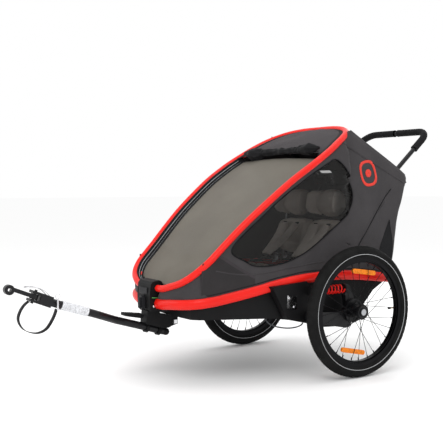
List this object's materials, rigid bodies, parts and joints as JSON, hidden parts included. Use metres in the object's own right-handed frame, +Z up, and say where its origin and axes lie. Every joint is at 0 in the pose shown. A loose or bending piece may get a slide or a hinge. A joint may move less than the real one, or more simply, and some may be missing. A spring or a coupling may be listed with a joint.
{
  "type": "child bicycle trailer",
  "caption": "Covered child trailer for towing behind a bicycle, with sprung wheels, a folding hoop frame, a push handlebar and a side-offset drawbar.",
  "frame": {"origin": "on the ground under the middle of the trailer's box", "axes": "+Y to the trailer's rear, +Z up, +X to its left"},
  "size_m": [0.814, 1.8454, 0.9767],
  "materials": {
    "frame_red": "gloss",
    "black_plastic": "matte",
    "grey_plastic": "satin",
    "knob_grey": "satin",
    "bright_steel": "satin",
    "chrome_plate": "polished",
    "aluminium": "satin",
    "rim_black": "anodised",
    "black_metal": "satin",
    "side_fabric": "woven",
    "screen_fabric": "mesh",
    "visor_fabric": "woven",
    "seat_fabric": "woven",
    "webbing": "woven",
    "window_film": "clear",
    "foam_grip": "matte",
    "tyre_rubber": "matte",
    "amber_reflector": "gloss",
    "red_reflector": "gloss",
    "reflective_white": "gloss",
    "cable_black": "satin"
  },
  "bodies": {
    "chassis": {"lower_frame": "frame_red", "front_connector": "black_plastic", "drawbar_bracket": "black_plastic", "clamp_bolt": "bright_steel", "floor_tub": "black_plastic", "seat_bars": "aluminium", "rail_caps": "red_reflector", "suspension_brackets": "black_plastic", "bracket_plates": "chrome_plate", "pivot_bolts": "bright_steel", "back_hinges": "aluminium", "seat_cushion": "seat_fabric", "side_panel_left": "side_fabric", "side_panel_right": "side_fabric", "side_window_left": "window_film", "side_window_right": "window_film", "rear_panel": "side_fabric", "brake_cable": "cable_black", "harness": "webbing", "harness_buckles": "black_plastic"},
    "upper_frame": {"hoop_tube": "frame_red", "hinge_pins": "bright_steel", "roof_struts": "black_metal", "hinge_hubs": "grey_plastic", "roof_panel": "side_fabric", "front_screen": "screen_fabric", "visor": "visor_fabric", "rolled_cover": "webbing"},
    "back_rest": {"back_frame": "aluminium", "back_pads": "seat_fabric", "headrests": "seat_fabric"},
    "handlebar": {"handlebar_tube": "black_metal", "handlebar_hubs": "grey_plastic", "handlebar_grips": "foam_grip"},
    "hinge_button_left": {"hinge_button_left": "knob_grey"},
    "hinge_button_right": {"hinge_button_right": "knob_grey"},
    "swing_arm_left": {"swing_arm_left": "black_metal", "spring_left": "frame_red"},
    "swing_arm_right": {"swing_arm_right": "black_metal", "spring_right": "frame_red"},
    "wheel_left": {"tyre_left": "tyre_rubber", "rim_left": "rim_black", "hub_left": "black_metal", "spokes_left": "rim_black", "reflectors_left": "amber_reflector"},
    "wheel_right": {"tyre_right": "tyre_rubber", "rim_right": "rim_black", "hub_right": "black_metal", "spokes_right": "rim_black", "reflectors_right": "amber_reflector"},
    "axle_button_left": {"axle_button_left": "aluminium"},
    "axle_button_right": {"axle_button_right": "aluminium"},
    "drawbar": {"drawbar_tube": "black_metal", "drawbar_cap": "black_plastic", "reflective_sleeve": "reflective_white", "coupler_block": "black_metal", "safety_strap": "webbing"},
    "coupling": {"coupling_eye": "black_metal"},
    "latch_lever": {"latch_lever": "black_plastic"},
    "lock_knob": {"lock_knob": "knob_grey"}
  },
  "joints": [
    {"name": "frame_fold", "type": "hinge", "parent": "chassis", "child": "upper_frame", "pos_m": [0, -0.35274, 0.352], "axis": [1, 0, 0], "range_deg": [-26, 0], "deforming": ["seat_cushion", "side_panel_left", "side_panel_right", "side_window_left", "side_window_right", "rear_panel", "harness", "harness_buckles", "front_screen", "roof_panel"]},
    {"name": "back_fold", "type": "hinge", "parent": "chassis", "child": "back_rest", "pos_m": [0, 0.43227, 0.41475], "axis": [1, 0, 0], "range_deg": [0, 91.5], "deforming": ["back_pads", "headrests"]},
    {"name": "handlebar_tilt", "type": "hinge", "parent": "upper_frame", "child": "handlebar", "pos_m": [0, 0.67227, 0.757], "axis": [1, 0, 0], "range_deg": [-60, 50]},
    {"name": "hinge_button_left_press", "type": "slide", "parent": "upper_frame", "child": "hinge_button_left", "axis": [-1, 0, 0], "range_m": [0, 0.004], "stiffness_N_per_m": 400, "springref_m": -0.003},
    {"name": "hinge_button_right_press", "type": "slide", "parent": "upper_frame", "child": "hinge_button_right", "axis": [1, 0, 0], "range_m": [0, 0.004], "stiffness_N_per_m": 400, "springref_m": -0.003},
    {"name": "suspension_left", "type": "hinge", "parent": "chassis", "child": "swing_arm_left", "pos_m": [0.329, 0.14127, 0.238], "axis": [1, 0, 0], "range_deg": [0, 14], "stiffness_Nm_per_rad": 160, "springref_deg": -17.19, "deforming": ["spring_left"]},
    {"name": "suspension_right", "type": "hinge", "parent": "chassis", "child": "swing_arm_right", "pos_m": [-0.329, 0.14127, 0.238], "axis": [1, 0, 0], "range_deg": [0, 14], "stiffness_Nm_per_rad": 160, "springref_deg": -17.19, "deforming": ["spring_right"]},
    {"name": "wheel_left_spin", "type": "hinge", "parent": "swing_arm_left", "child": "wheel_left", "pos_m": [0.38, 0.33726, 0.25], "axis": [1, 0, 0], "continuous": true},
    {"name": "wheel_right_spin", "type": "hinge", "parent": "swing_arm_right", "child": "wheel_right", "pos_m": [-0.38, 0.33726, 0.25], "axis": [1, 0, 0], "continuous": true},
    {"name": "axle_button_left_press", "type": "slide", "parent": "wheel_left", "child": "axle_button_left", "axis": [-1, 0, 0], "range_m": [0, 0.003], "stiffness_N_per_m": 400, "springref_m": -0.003},
    {"name": "axle_button_right_press", "type": "slide", "parent": "wheel_right", "child": "axle_button_right", "axis": [1, 0, 0], "range_m": [0, 0.003], "stiffness_N_per_m": 400, "springref_m": -0.003},
    {"name": "drawbar_slide", "type": "slide", "parent": "chassis", "child": "drawbar", "axis": [0, -0.9573, 0.289], "range_m": [0, 0.12]},
    {"name": "coupling_swivel", "type": "hinge", "parent": "drawbar", "child": "coupling", "pos_m": [0.05, -0.82022, 0.35623], "axis": [0, 0.3746, 0.9272], "range_deg": [-50, 50]},
    {"name": "latch_lift", "type": "hinge", "parent": "chassis", "child": "latch_lever", "pos_m": [0, -0.39674, 0.248], "axis": [1, 0, 0], "range_deg": [-35, 0]},
    {"name": "lock_knob_turn", "type": "hinge", "parent": "chassis", "child": "lock_knob", "pos_m": [0, -0.38314, 0.296], "axis": [0, 1, 0], "range_deg": [0, 90]}
  ],
  "couplings": [
    {"joint": "back_fold", "follows": "frame_fold", "ratio": -3.5}
  ]
}
